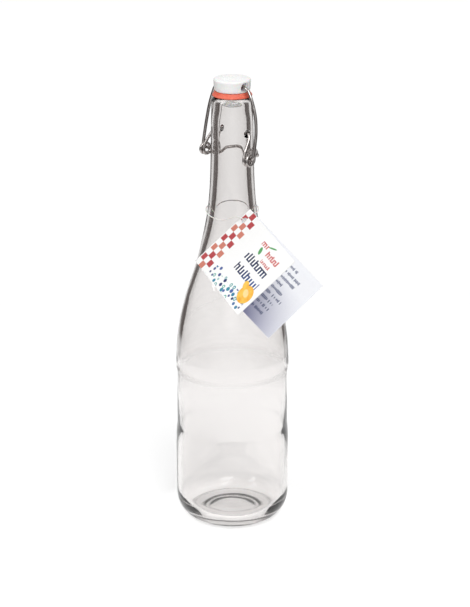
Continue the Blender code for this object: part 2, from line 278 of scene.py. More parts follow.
def place(item, body, slot, material=None, replaces=()):
    """Paint a piece, and fix it to its CAD body."""
    if material:
        item.data.materials.clear()
        item.data.materials.append(material)
    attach(item, body)
    if replaces:
        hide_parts(*replaces)
    return item


# ---------------------------------------------------------------- shader nodes


class Nodes:
    """Short helpers for the nodes of one tree. Arguments may be sockets or plain values."""

    def __init__(self, tree):
        self.tree = tree

    def node(self, kind, inputs=None, **settings):
        made = self.tree.nodes.new(kind)
        for key, value in settings.items():
            setattr(made, key, value)
        for key, value in (inputs or {}).items():
            self.feed(made.inputs[key], value)
        return made

    def feed(self, socket, value):
        if isinstance(value, bpy.types.NodeSocket):
            self.tree.links.new(value, socket)
        else:
            socket.default_value = value

    def calc(self, operation, *values, clamp=False):
        inputs = dict(enumerate(values))
        return self.node("ShaderNodeMath", inputs, operation=operation, use_clamp=clamp).outputs[0]

    def position(self):
        return self.node("ShaderNodeTexCoord").outputs["Object"]

    def noise(self, scale, detail=2.0, roughness=0.5, stretch=None):
        vector = self.position()
        if stretch:
            vector = self.node("ShaderNodeMapping", {"Vector": vector, "Scale": stretch}).outputs[0]
        inputs = {"Vector": vector, "Scale": scale, "Detail": detail, "Roughness": roughness}
        return self.node("ShaderNodeTexNoise", inputs).outputs["Fac"]

    def ramp(self, value, *stops):
        made = self.node("ShaderNodeValToRGB", {"Fac": value})
        elements = made.color_ramp.elements
        while len(elements) < len(stops):
            elements.new(0.5)
        for element, (position, colour) in zip(elements, stops):
            element.position = position
            rgb = colour if isinstance(colour, tuple) else (colour,) * 3
            element.color = (*rgb, 1.0)
        return made.outputs["Color"]

    def remap(self, value, from_low, from_high, to_low, to_high):
        inputs = {"Value": value, 1: from_low, 2: from_high, 3: to_low, 4: to_high}
        return self.node("ShaderNodeMapRange", inputs).outputs[0]

    def mix(self, share, first, second):
        made = self.node("ShaderNodeMix", data_type="RGBA")
        self.feed(made.inputs[0], share)
        for socket, value in ((made.inputs[6], first), (made.inputs[7], second)):
            self.feed(socket, (*value, 1.0) if isinstance(value, tuple) else value)
        return made.outputs[2]


class Shader(Nodes):
    """A material and its main shader, whose plain values are given by name."""

    def __init__(self, name, **values):
        self.material = bpy.data.materials.new(name)
        self.material.use_nodes = True
        super().__init__(self.material.node_tree)
        self.surface = self.tree.nodes["Principled BSDF"]
        for socket, value in values.items():
            title = socket.replace("_", " ").title().replace("Ior", "IOR")
            self.surface.inputs[title].default_value = value

    def bump(self, height, strength, distance):
        inputs = {"Height": height, "Strength": strength, "Distance": distance}
        self.feed(self.surface.inputs["Normal"], self.node("ShaderNodeBump", inputs).outputs[0])

    def colour(self, value):
        self.feed(self.surface.inputs["Base Color"], value)

    def roughness(self, value):
        self.feed(self.surface.inputs["Roughness"], value)


def glass_material():
    """Clear bottle glass: a trace of warm grey in its depth, and the slow waves of a blown surface."""
    made = Shader("clear_bottle_glass", base_color=GLASS_TINT, roughness=0.0,
                  transmission_weight=1.0, ior=1.52)
    waves = made.noise(55.0, 2.0, 0.45, stretch=(1.0, 1.0, 0.45))
    fine = made.noise(420.0, 2.0, 0.5)
    made.bump(made.calc("ADD", waves, made.calc("MULTIPLY", fine, 0.03)), 0.35, 0.6 * MM)
    depth_values = {"Color": GLASS_DEPTH_COLOUR, "Density": GLASS_DEPTH_DENSITY}
    depth = made.node("ShaderNodeVolumeAbsorption", depth_values)
    output = made.tree.nodes["Material Output"]
    made.tree.links.new(depth.outputs[0], output.inputs["Volume"])
    return made.material


def steel_material():
    """Bright drawn wire, with fine marks along it and a faint dull bloom."""
    made = Shader("drawn_steel_wire", metallic=1.0, roughness=0.14)
    bloom = made.noise(260.0, 4.0, 0.6)
    marks = made.noise(900.0, 3.0, 0.6, stretch=(1.0, 1.0, 0.12))
    made.colour(made.ramp(bloom, (0.3, (0.33, 0.305, 0.295)), (0.7, (0.52, 0.49, 0.475))))
    made.roughness(made.remap(bloom, 0.3, 0.7, 0.1, 0.26))
    made.bump(marks, 0.12, 0.05 * MM)
    return made.material


def plastic_material():
    """White moulded plastic, slightly soft-edged, with a fine moulded grain."""
    made = Shader("white_moulded_plastic", roughness=0.22, subsurface_weight=0.12,
                  subsurface_scale=0.002, ior=1.49)
    tone = made.noise(90.0, 3.0, 0.5)
    grain = made.noise(1800.0, 2.0, 0.5)
    made.colour(made.ramp(tone, (0.3, (0.83, 0.83, 0.82)), (0.7, (0.9, 0.9, 0.895))))
    made.roughness(made.remap(grain, 0.3, 0.7, 0.18, 0.34))
    made.bump(grain, 0.06, 0.05 * MM)
    return made.material


def rubber_material():
    """Orange-red gasket rubber, matt, with a pale bloom."""
    made = Shader("orange_red_rubber", roughness=0.5)
    bloom = made.noise(300.0, 5.0, 0.6)
    grain = made.noise(1500.0, 3.0, 0.6)
    made.colour(made.ramp(bloom, (0.3, (0.70, 0.09, 0.045)), (0.75, (0.84, 0.21, 0.13))))
    made.roughness(made.remap(grain, 0.3, 0.7, 0.42, 0.62))
    made.bump(grain, 0.2, 0.06 * MM)
    return made.material


def thread_material():
    """Pearly twisted nylon, with fine fibres."""
    made = Shader("pearly_nylon_thread", roughness=0.35, sheen_weight=0.4, subsurface_weight=0.2,
                  subsurface_scale=0.001)
    fibres = made.noise(2500.0, 2.0, 0.6)
    made.colour(made.ramp(fibres, (0.3, (0.78, 0.74, 0.71)), (0.7, (0.93, 0.91, 0.89))))
    made.roughness(made.remap(fibres, 0.3, 0.7, 0.28, 0.5))
    made.bump(fibres, 0.2, 0.04 * MM)
    return made.material


# ---------------------------------------------------------------- bottle


def outer_profile():
    """The bottle's outside (r, z), from the top of the lip down to the middle of the base."""
    lip_round = 3.2 * MM
    points = arc(LIP_RADIUS - lip_round, LIP_HEIGHT - lip_round, lip_round, lip_round, 90, 0, 10)
    neck_and_shoulder = [
        (LIP_RADIUS, LIP_HEIGHT - lip_round),
        (14.6 * MM, 292 * MM),
        (14.9 * MM, 272 * MM),
        (15.7 * MM, 246 * MM),
        (17.5 * MM, 227 * MM),
        (20.8 * MM, 210 * MM),
        (25.2 * MM, 191 * MM),
        (31.5 * MM, 171 * MM),
        (36.2 * MM, 153 * MM),
        (39.0 * MM, 135 * MM),
        (BODY_RADIUS, 120 * MM),
    ]
    points += smooth_profile(neck_and_shoulder, 1.6 * MM)[1:]
    edge = 1.5 * MM
    step_in = [(BODY_RADIUS, 120 * MM), (BODY_RADIUS, PANEL_TOP + 2 * edge), (PANEL_RADIUS, PANEL_TOP - edge)]
    points += smooth_profile(step_in, 0.8 * MM)[1:]
    panel_end = (PANEL_RADIUS, PANEL_BOTTOM + edge)
    points.append(panel_end)
    step_out = [panel_end, (BODY_RADIUS, PANEL_BOTTOM - 4 * edge), (BODY_RADIUS, HEEL_HEIGHT)]
    points += smooth_profile(step_out, 1.5 * MM)[1:-1]
    points += arc(BODY_RADIUS - HEEL_WIDTH, HEEL_HEIGHT, HEEL_WIDTH, HEEL_HEIGHT, 0, -90, 36)
    rest_inner = BODY_RADIUS - HEEL_WIDTH - REST_RING_WIDTH
    points.append((rest_inner, 0.0))
    rings = 24
    for i in range(1, rings + 1):
        share = 1 - i / rings
        points.append((rest_inner * share, PUSH_UP * (1 - share ** 4)))
    return points


def inner_profile():
    """The cavity (r, z), from the middle of its floor up to the top of the lip."""
    mouth_round = 1.6 * MM
    floor_edge = CAVITY_RADIUS - CAVITY_CORNER_WIDTH
    floor = [(0.0, CAVITY_FLOOR + 1.6 * MM), (11 * MM, CAVITY_FLOOR + 1.0 * MM), (floor_edge, CAVITY_FLOOR)]
    points = smooth_profile(floor, 1.2 * MM)[:-1]
    corner_top = CAVITY_FLOOR + CAVITY_CORNER_HEIGHT
    points += arc(floor_edge, corner_top, CAVITY_CORNER_WIDTH, CAVITY_CORNER_HEIGHT, -90, 0, 28)
    walls = [
        (CAVITY_RADIUS, 122 * MM),
        (35.6 * MM, 137 * MM),
        (32.7 * MM, 154 * MM),
        (27.8 * MM, 172 * MM),
        (21.0 * MM, 192 * MM),
        (15.6 * MM, 211 * MM),
        (12.4 * MM, 228 * MM),
        (10.6 * MM, 247 * MM),
        (BORE_RADIUS, 266 * MM),
        (BORE_RADIUS, 291 * MM),
        (MOUTH_RADIUS, 301 * MM),
        (MOUTH_RADIUS, LIP_HEIGHT - mouth_round),
    ]
    points += [tuple(p) for p in spaced([points[-1], walls[0]], 3 * MM)][1:-1]
    points += smooth_profile(walls, 2.0 * MM)[:-1]
    rim_r, rim_z = MOUTH_RADIUS + mouth_round, LIP_HEIGHT - mouth_round
    points += arc(rim_r, rim_z, mouth_round, mouth_round, 180, 90, 8)
    return points


def waved_cavity(point):
    """A point of the cavity's surface, moved by the slow waves of the wall and the swirl of the floor."""
    radius = math.hypot(point.x, point.y)
    if radius > 1e-6:
        drift = noise.noise(Vector((point.x * 38, point.y * 38, point.z * 17)) + Vector((3.1, 0, 0)))
        depth = WALL_DRIFT * smoothstep(12 * MM, 30 * MM, radius) + 0.05 * MM
        scale = 1 + drift * depth / radius
        point = Vector((point.x * scale, point.y * scale, point.z))
    floor = 1 - smoothstep(12 * MM, 30 * MM, point.z)
    swirl = noise.noise(Vector((point.x * 70, point.y * 70, 5.0)))
    point.z += floor * swirl * FLOOR_SWIRL
    return point


def dimpled_and_knurled(point):
    """A point of the outside, sunk in the dimples for the wire's pins and lifted between the base's teeth."""
    radius = math.hypot(point.x, point.y)
    off_axis = math.hypot(point.y, point.z - PIVOT_HEIGHT)
    if radius < 17 * MM and off_axis < DIMPLE_RADIUS + 0.5 * MM:
        slope = (NECK_RADIUS_AT_PIVOT - DIMPLE_FLOOR) / (DIMPLE_RADIUS - DIMPLE_FLOOR_RADIUS)
        floor = DIMPLE_FLOOR + max(0.0, off_axis - DIMPLE_FLOOR_RADIUS) * slope
        if floor < abs(point.x):
            point.x = math.copysign(floor, point.x)
    if point.z < 5 * MM:
        angle = math.atan2(point.y, point.x)
        for start, end, turn in KNURL_BANDS:
            tooth = 0.5 + 0.5 * math.cos(angle * KNURL_TEETH + turn)
            rise = smoothstep(start, start + KNURL_EDGE, radius)
            fall = 1 - smoothstep(end - KNURL_EDGE, end, radius)
            point.z += rise * fall * tooth * KNURL_DEPTH
    return point


def build_bottle(material):
    inner = inner_profile()
    outer = outer_profile()
    refined = []
    for start, end in zip(outer, outer[1:]):
        refined.append(start)
        if start[0] > 12 * MM and abs(start[1] - PIVOT_HEIGHT) < 5 * MM:
            refined += [tuple(p) for p in spaced([start, end], 0.3 * MM)][1:-1]
    refined.append(outer[-1])

    def shape(point, place_on_outline):
        return waved_cavity(point) if place_on_outline < len(inner) else dimpled_and_knurled(point)

    bottle = lathe("bottle_glass", inner + refined, GLASS_SEGMENTS, shape)
    return place(bottle, "bottle", "clear_glass", material, ["glass_bottle"])


# ---------------------------------------------------------------- stopper and gasket


def build_stopper(material):
    """The turned head, stem and plug in one, with a flared cross-hole for the wire."""
    edge = 1.1 * MM
    side_top = STOPPER_TOP - 0.7 * MM - edge
    crown = smooth_profile([(0.0, STOPPER_TOP), (6.5 * MM, STOPPER_TOP - 0.15 * MM),
                            (STOPPER_RADIUS - edge, side_top + edge + 0.08 * MM)], 1.0 * MM)[:-1]
    side = [(STOPPER_RADIUS, side_top), (12.75 * MM, 319.0 * MM), (12.4 * MM, 315.4 * MM),
            (12.1 * MM, HEAD_UNDERSIDE + 0.35 * MM), (11.7 * MM, HEAD_UNDERSIDE)]
    tip = 2.2 * MM
    outline = crown
    outline += arc(STOPPER_RADIUS - edge, side_top, edge, edge + 0.1 * MM, 85, 0, 8)
    outline += smooth_profile(side, 0.5 * MM)[1:]
    bevel = 0.3 * MM
    outline += [(STEM_RADIUS + bevel, HEAD_UNDERSIDE), (STEM_RADIUS, HEAD_UNDERSIDE - bevel)]
    outline += [(STEM_RADIUS, PLUG_TOP), (PLUG_RADIUS - bevel, PLUG_TOP), (PLUG_RADIUS, PLUG_TOP - bevel)]
    outline += arc(PLUG_RADIUS - tip, PLUG_BOTTOM + tip, tip, tip, 0, -90, 10)
    outline += [(2.0 * MM, PLUG_BOTTOM), (0.0, PLUG_BOTTOM)]
    stopper = lathe("stopper_body", outline, 128)

    reach = STOPPER_RADIUS + 1.5 * MM
    half = [
        (CROSS_HOLE_RADIUS, 0.0), (CROSS_HOLE_RADIUS, 6.5 * MM), (CROSS_HOLE_RADIUS + 0.15 * MM, 8.5 * MM),
        (CROSS_HOLE_RADIUS + 0.7 * MM, 10.8 * MM), (CROSS_HOLE_MOUTH, STOPPER_RADIUS - 0.5 * MM),
        (CROSS_HOLE_MOUTH + 0.9 * MM, reach),
    ]
    half = smooth_profile(half, 0.6 * MM)
    hole = [(0.0, -reach)] + [(r, -z) for r, z in reversed(half)] + half[1:] + [(0.0, reach)]
    cutter = lathe("hole_cutter", hole, 48)
    cutter.rotation_euler = (0, math.pi / 2, 0)
    cutter.location = (0, 0, HOLE_HEIGHT)
    cut = stopper.modifiers.new("cross_hole", "BOOLEAN")
    cut.operation = "DIFFERENCE"
    cut.solver = "EXACT"
    cut.object = cutter
    bpy.context.view_layer.update()
    result = bpy.data.meshes.new_from_object(stopper.evaluated_get(bpy.context.evaluated_depsgraph_get()))
    stopper.modifiers.clear()
    stopper.data = result
    bpy.data.objects.remove(cutter)
    result.shade_smooth()
    result.set_sharp_from_angle(angle=math.radians(38))
    return place(stopper, "stopper", "white_plastic", material, ["stopper_head"])


def build_gasket(material):
    inner = STEM_RADIUS + 0.3 * MM
    outer = [
        (11.6 * MM, GASKET_TOP), (12.2 * MM, GASKET_TOP - 0.35 * MM), (12.75 * MM, GASKET_TOP - 1.5 * MM),
        (GASKET_RADIUS - 0.1 * MM, GASKET_BOTTOM + 0.8 * MM), (GASKET_RADIUS, GASKET_BOTTOM + 0.35 * MM),
        (GASKET_RADIUS - 0.45 * MM, GASKET_BOTTOM),
    ]
    outline = [(inner, GASKET_TOP), (9 * MM, GASKET_TOP)] + smooth_profile(outer, 0.25 * MM)
    outline += [(9 * MM, GASKET_BOTTOM), (inner, GASKET_BOTTOM)]
    gasket = lathe("gasket_ring", outline, 128, closed=True)
    gasket.data.set_sharp_from_angle(angle=math.radians(50))
    return place(gasket, "stopper", "orange_rubber", material, ["stopper_gasket"])


# ---------------------------------------------------------------- wires


def mirrored_ends(half):
    """A full route from its +X half, which starts at the middle plane."""
    return [(-x, y, z) for x, y, z in reversed(half)] + [(x, y, z) for x, y, z in half[1:]]


def bail_route():
    """The stopper's wire: through the head, down both sides in a slight bow, and inwards through the eyes."""
    foot = Vector((0, EYE_Y, EYE_HEIGHT + BAIL_PIN_RISE))
    rise = Vector((0, 0, HOLE_HEIGHT)) - foot
    length = rise.length
    # Each point: out from the middle plane, and up along the leg from the eye
    leg = [
        (0.0, length), (6.0 * MM, length), (11.4 * MM, length), (14.2 * MM, length - 0.7 * MM),
        (17.1 * MM, length - 4.2 * MM), (19.7 * MM, length - 9.6 * MM), (22.6 * MM, length - 18 * MM),
        (24.4 * MM, length - 29 * MM), (24.8 * MM, length - 37 * MM), (24.8 * MM, 4.2 * MM),
        (24.6 * MM, 1.7 * MM), (23.9 * MM, 0.35 * MM), (22.6 * MM, 0.0), (17.9 * MM, 0.0),
    ]
    along = rise.normalized()
    across = Vector((0, along.z, -along.y))
    half = smooth_route([(x, up, BAIL_BOW * math.sin(math.pi * up / length)) for x, up in leg], 0.5 * MM)
    return mirrored_ends([tuple(foot + Vector((p.x, 0, 0)) + along * p.y + across * p.z) for p in half])


def eye_turns(steps_per_turn=40):
    """The coil of one and a quarter turns that the bail's end hooks into, from inside to outside."""
    start, end = -20, 430
    count = round((end - start) / 360 * steps_per_turn)
    points = []
    for i in range(count + 1):
        angle = math.radians(start + (end - start) * i / count)
        x = EYE_INNER_X + (EYE_OUTER_X - EYE_INNER_X) * min(1.0, max(0.0, (i / count - 0.1) / 0.75))
        points.append((x, EYE_Y - EYE_RADIUS * math.cos(angle), EYE_HEIGHT - EYE_RADIUS * math.sin(angle)))
    return points


def lever_route():
    """The lever: tab, handle round the back of the neck, eyes, legs and the pins in the glass."""
    handle = [(0.0, TAB_REACH, TAB_HEIGHT), (1.5 * MM, TAB_REACH - 0.5 * MM, TAB_HEIGHT + 0.6 * MM)]
    handle += [(2.6 * MM, 20.4 * MM, 266.6 * MM), (3.7 * MM, 17.4 * MM, 269.6 * MM)]
    for azimuth in (66, 50, 34, 22):
        turn = math.radians(azimuth)
        height = HANDLE_HEIGHT - (66 - azimuth) * 0.02 * MM
        handle.append((HANDLE_RADIUS * math.cos(turn) + 0.2 * MM, HANDLE_RADIUS * math.sin(turn), height))
    handle.append((18.6 * MM, 2.6 * MM, 267.3 * MM))
    handle.append((20.8 * MM, -1.0 * MM, 266.4 * MM))
    pin = [
        (19.2 * MM, EYE_Y - 1.6 * MM, 276.0 * MM), (17.6 * MM, -1.0 * MM, PIVOT_HEIGHT - 2.8 * MM),
        (17.0 * MM, -0.25 * MM, PIVOT_HEIGHT - 0.9 * MM), (16.0 * MM, 0.0, PIVOT_HEIGHT),
        (14.8 * MM, 0.0, PIVOT_HEIGHT), (PIN_TIP, 0.0, PIVOT_HEIGHT),
    ]
    coil = list(reversed(eye_turns()))
    half = [tuple(p) for p in smooth_route(handle, 0.5 * MM)] + coil
    half += [tuple(p) for p in smooth_route([coil[-1]] + pin, 0.5 * MM)[1:]]
    return mirrored_ends(half)


def build_wires(material):
    place(wire("bail", bail_route(), WIRE_RADIUS), "bail", "steel_wire", material, ["bail_wire"])
    place(wire("lever", lever_route(), WIRE_RADIUS), "lever", "steel_wire", material, ["lever_wire"])


# ---------------------------------------------------------------- card


def card_frame():
    """The card's corner and its axes: along the leaf, down the fold, and out of its face."""
    azimuth = math.radians(CARD_AZIMUTH)
    lean = math.radians(CARD_LEAN)
    turn = math.radians(CARD_TURN)
    right = Vector((math.cos(azimuth), math.sin(azimuth), 0))
    towards = Vector((math.sin(azimuth), -math.cos(azimuth), 0))
    up = Vector((0, 0, 1))
    standoff = CARD_STANDOFF - (CORNER_HEIGHT - CARD_STANDOFF_HEIGHT) * math.tan(lean)
    corner = right * CORNER_SIDE + towards * standoff + up * CORNER_HEIGHT
    rising = up * math.cos(lean) - towards * math.sin(lean)
    outward = towards * math.cos(lean) + up * math.sin(lean)
    along = right * math.cos(turn) - rising * math.sin(turn)
    down_fold = -right * math.sin(turn) - rising * math.cos(turn)
    return corner, along, down_fold, outward


def card_point(along_leaf, down, out):
    """A point measured in metres from the card's corner, in the back leaf's plane and out of it."""
    corner, along, down_fold, outward = card_frame()
    return corner + along * along_leaf + down_fold * down + outward * out


def leaf_matrix(open_angle, offset):
    """Places a leaf that is turned by open_angle about the fold axis."""
    corner, along, down_fold, outward = card_frame()
    angle = math.radians(open_angle)
    direction = along * math.cos(angle) + outward * math.sin(angle)
    normal = outward * math.cos(angle) - along * math.sin(angle)
    origin = corner + outward * FOLD_OFFSET + normal * offset
    columns = (direction, down_fold, normal, origin)
    rows = [[column[i] for column in columns] for i in range(3)]
    return Matrix(rows + [[0, 0, 0, 1]])


def leaf_outline():
    """A leaf's flat outline, round its two far corners, with the fold at x = 0."""
    radius = CARD_CORNER_RADIUS
    outline = [(FOLD_START, 0.0)]
    for centre_y, start in ((radius, -90), (CARD_WIDTH - radius, 0)):
        outline += arc(CARD_LENGTH - radius, centre_y, radius, radius, start, start + 90, 8)
    outline.append((FOLD_START, CARD_WIDTH))
    return outline


def build_leaf(name, open_angle, offset, bow, twist, materials):
    """One printed leaf: a thin sheet with a punched hole, bowed along its length, a far corner bent back."""
    shape = bmesh.new()
    outline = leaf_outline()
    ring = [tuple(p) for p in spaced(outline + outline[:1], 1.5 * MM)][:-1]
    hole = [(HOLE_FROM_FOLD + HOLE_RADIUS * math.cos(2 * math.pi * i / 32),
             HOLE_FROM_TOP + HOLE_RADIUS * math.sin(2 * math.pi * i / 32)) for i in range(32)]
    edges = []
    for loop in (ring, hole):
        made = [shape.verts.new((x, y, 0.0)) for x, y in loop]
        edges += [shape.edges.new((a, b)) for a, b in zip(made, made[1:] + made[:1])]
    bmesh.ops.triangle_fill(shape, edges=edges, use_beauty=True, use_dissolve=False)
    cuts = int(CARD_LENGTH / (3 * MM))
    for i in range(1, cuts):
        plane = Vector((CARD_LENGTH * i / cuts, 0, 0))
        everything = shape.verts[:] + shape.edges[:] + shape.faces[:]
        bmesh.ops.bisect_plane(shape, geom=everything, plane_co=plane, plane_no=(1, 0, 0))
    faces = shape.faces[:]
    for face in faces:
        if face.normal.z < 0:
            face.normal_flip()
    printed = shape.loops.layers.uv.new("leaf")
    for face in faces:
        for loop in face.loops:
            loop[printed].uv = (loop.vert.co.x / CARD_LENGTH, loop.vert.co.y / CARD_LENGTH)
    front = set(shape.verts)
    for v in shape.verts:
        share = v.co.x / CARD_LENGTH
        curl = bow * math.sin(math.pi * share) * (0.8 + 0.4 * v.co.y / CARD_WIDTH)
        bend = twist * share ** 1.6 * (1 - v.co.y / CARD_WIDTH)
        v.co.z = curl - bend + CARD_THICKNESS / 2
    back = bmesh.ops.duplicate(shape, geom=shape.verts[:] + shape.edges[:] + faces)
    mapping = back["vert_map"]
    for v, copy in list(mapping.items()):
        if v in front:
            copy.co = v.co - Vector((0, 0, CARD_THICKNESS))
    back_faces = [f for f in back["geom"] if isinstance(f, bmesh.types.BMFace)]
    for face in back_faces:
        face.normal_flip()
        face.material_index = 1
    rim = [e for e in shape.edges if e.is_boundary and e.verts[0] in front]
    for edge in rim:
        a, b = edge.verts
        side = shape.faces.new((a, b, mapping[b], mapping[a]))
        side.material_index = 2
    bmesh.ops.recalc_face_normals(shape, faces=shape.faces[:])
    mesh = bpy.data.meshes.new(name)
    shape.to_mesh(mesh)
    shape.free()
    leaf = bpy.data.objects.new(name, mesh)
    bpy.context.scene.collection.objects.link(leaf)
    leaf.matrix_world = leaf_matrix(open_angle, offset)
    for material in materials:
        mesh.materials.append(material)
    return leaf


def build_crease(material):
    """The rolled fold that joins the leaves, on the far side of the hinge line from them."""
    corner, along, down_fold, outward = card_frame()
    axis_point = corner + outward * FOLD_OFFSET
    middle = math.hypot(FOLD_START, FOLD_OFFSET)
    start = math.degrees(math.atan2(-FOLD_OFFSET, FOLD_START))
    end = CARD_OPEN_ANGLE + math.degrees(math.atan2(FOLD_OFFSET, FOLD_START)) - 360
    count, rows = 16, 12
    half = CARD_THICKNESS / 2
    vertices, faces = [], []
    for j in range(rows + 1):
        down = CARD_WIDTH * j / rows
        for side in (middle - half, middle + half):
            for i in range(count + 1):
                angle = math.radians(start + (end - start) * i / count)
                spoke = along * math.cos(angle) + outward * math.sin(angle)
                vertices.append(axis_point + down_fold * down + spoke * side)
    width = count + 1
    for j in range(rows):
        for i in range(count):
            for layer in (0, 1):
                a = (2 * j + layer) * width + i
                b = (2 * j + 2 + layer) * width + i
                faces.append((a, a + 1, b + 1, b))
    for j in range(rows):
        for i in (0, count):
            a, b = 2 * j * width + i, (2 * j + 2) * width + i
            faces.append((a, b, b + width, a + width))
    for j in (0, rows):
        for i in range(count):
            a = 2 * j * width + i
            faces.append((a, a + 1, a + 1 + width, a + width))
    crease = mesh_object("card_crease", vertices, faces)
    recalculate_normals(crease)
    crease.data.materials.append(material)
    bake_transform(crease)


# ---------------------------------------------------------------- thread


def card_offset(along_leaf, down, out):
    """A step in millimetres along the card's axes."""
    _, along, down_fold, outward = card_frame()
    return (along * along_leaf + down_fold * down + outward * out) * MM


def knot_centre():
    return card_point(HOLE_FROM_FOLD + 0.4 * MM, HOLE_FROM_TOP, -2.3 * MM)


def neck_point(azimuth, height, radius):
    """A point round the neck, its azimuth in degrees from -Y towards +X."""
    turn = math.radians(azimuth)
    return Vector((radius * math.sin(turn), -radius * math.cos(turn), height))


def thread_route(spacing):
    """From the knot round the neck, over the fold, through both holes and back to the knot."""
    knot = knot_centre()
    # Each place round the neck: degrees on from the card, height and radius in millimetres
    ring = [
        (52, 228.2, 18.7), (80, 229.3, 18.2), (110, 230.4, 18.0), (145, 231.3, 17.9), (180, 231.5, 17.9),
        (215, 231.0, 17.9), (250, 229.8, 18.1), (280, 228.6, 18.3), (310, 227.4, 18.6), (337, 226.8, 19.4),
    ]
    route = [knot + card_offset(1.7, -0.6, 0.0), knot + card_offset(3.4, -1.6, -0.6)]
    route += [neck_point(CARD_AZIMUTH + turn, height * MM, radius * MM) for turn, height, radius in ring]
    for angle, down in ((150, 2.6), (120, 1.0), (90, 0.2), (60, 0.0), (30, 0.0), (5, 0.0)):
        turn = math.radians(angle)
        out = FOLD_OFFSET + HOLE_FROM_FOLD * math.sin(turn)
        route.append(card_point(HOLE_FROM_FOLD * math.cos(turn), HOLE_FROM_TOP + down * MM, out))
    route.append(knot + card_offset(-0.1, 0.0, 1.55))
    return smooth_route(route, spacing)


def twisted_cord(name, path, radius, pitch):
    """A two-strand twisted cord as one closed tube: its section is waisted and turns along the path."""
    sides = 16
    vertices, faces = [], []
    travelled = 0.0
    reference = Vector((0, 0, 1))
    for i, point in enumerate(path):
        ahead = path[min(i + 1, len(path) - 1)] - path[max(i - 1, 0)]
        tangent = ahead.normalized()
        across = reference - tangent * reference.dot(tangent)
        reference = across.normalized()
        other = tangent.cross(reference)
        if i:
            travelled += (point - path[i - 1]).length
        twist = 2 * math.pi * travelled / pitch
        for k in range(sides):
            angle = 2 * math.pi * k / sides
            reach = radius * (0.76 + 0.24 * math.cos(2 * angle))
            turned = angle + twist
            vertices.append(point + (reference * math.cos(turned) + other * math.sin(turned)) * reach)
    for i in range(len(path) - 1):
        for k in range(sides):
            a, b = i * sides + k, i * sides + (k + 1) % sides
            faces.append((a, b, b + sides, a + sides))
    faces.append(tuple(range(sides)))
    faces.append(tuple(range(len(vertices) - sides, len(vertices))))
    cord = mesh_object(name, vertices, faces)
    recalculate_normals(cord)
    return cord


def build_thread(material):
    path = thread_route(0.3 * MM)
    thread = twisted_cord("neck_thread", path, THREAD_RADIUS, 2.4 * MM)
    place(thread, "tag", "white_thread", material, ["tag_thread"])
    centre = knot_centre()
    size = 1.15 * MM
    loop = []
    for i in range(97):
        t = 2 * math.pi * i / 97
        ring = 0.5 + 0.23 * math.cos(3 * t)
        trefoil = Vector((ring * math.cos(2 * t), 0.34 * math.sin(3 * t), ring * math.sin(2 * t)))
        loop.append(centre + trefoil * size)
    knot = wire("thread_knot_ball", loop, 0.42 * MM)
    knot.data.splines[0].use_cyclic_u = True
    knot.data.use_fill_caps = False
    place(knot, "tag", "white_thread", material, ["thread_knot"])
    coarse = thread_route(2.0 * MM)
    length = sum((b - a).length for a, b in zip(path, path[1:]))
    followed = [tuple(p) for p in path[::3] + [path[-1]]]
    tuple(coarse[0])


# ---------------------------------------------------------------- printed card


def leaf_place(made):
    """Millimetres along the leaf from its fold, and down the fold from the top corner."""
    uv = made.node("ShaderNodeUVMap", uv_map="leaf").outputs[0]
    split = made.node("ShaderNodeSeparateXYZ", {"Vector": uv})
    scale = CARD_LENGTH / MM
    return made.calc("MULTIPLY", split.outputs[0], scale), made.calc("MULTIPLY", split.outputs[1], scale)


def inside(made, value, low, high):
    """1 where the value lies between low and high."""
    above = made.calc("GREATER_THAN", value, low)
    below = made.calc("LESS_THAN", value, high)
    return made.calc("MULTIPLY", above, below)


def all_of(made, *masks):
    result = masks[0]
    for mask in masks[1:]:
        result = made.calc("MULTIPLY", result, mask)
    return result


def ellipse(made, u, v, centre_u, centre_v, radius_u, radius_v, turn=0.0):
    """1 inside an ellipse whose long axis is turned by `turn` degrees."""
    cosine, sine = math.cos(math.radians(turn)), math.sin(math.radians(turn))
    du = made.calc("SUBTRACT", u, centre_u)
    dv = made.calc("SUBTRACT", v, centre_v)
    along = made.calc("ADD", made.calc("MULTIPLY", du, cosine), made.calc("MULTIPLY", dv, sine))
    across = made.calc("SUBTRACT", made.calc("MULTIPLY", dv, cosine), made.calc("MULTIPLY", du, sine))
    squares = [made.calc("POWER", made.calc("ABSOLUTE", made.calc("DIVIDE", a, b)), 2.0)
               for a, b in ((along, radius_u), (across, radius_v))]
    return made.calc("LESS_THAN", made.calc("ADD", *squares), 1.0)


def chance_of(made, index):
    """A fixed number between 0 and 1 for each value of `index`."""
    return made.node("ShaderNodeTexWhiteNoise", {"W": index}, noise_dimensions="1D").outputs[0]


def lettering(made, u, v, row, height, start, end, pitch, seed):
    """A row of upright strokes that spells nothing: some stand taller, some are joined at top or foot."""
    place_in_row = made.calc("DIVIDE", u, pitch)
    index = made.calc("FLOOR", place_in_row)
    phase = made.calc("FRACT", place_in_row)
    bar_chance = chance_of(made, made.calc("ADD", index, seed))
    taller = made.calc("GREATER_THAN", chance_of(made, made.calc("ADD", index, seed + 0.5)), 0.7)
    head = row - 0.3 * height
    foot = row + 0.34 * height
    stem = inside(made, v, made.calc("MULTIPLY_ADD", taller, -0.2 * height, head), foot)
    stem = made.calc("MULTIPLY", stem, made.calc("LESS_THAN", phase, 0.52))
    bar = 0.14 * height
    at_head = all_of(made, inside(made, v, head, head + bar), made.calc("LESS_THAN", bar_chance, 0.42))
    at_foot = all_of(made, inside(made, v, foot - bar, foot), made.calc("GREATER_THAN", bar_chance, 0.6))
    strokes = made.calc("MAXIMUM", stem, made.calc("MAXIMUM", at_head, at_foot))
    return made.calc("MULTIPLY", strokes, inside(made, u, start, end))


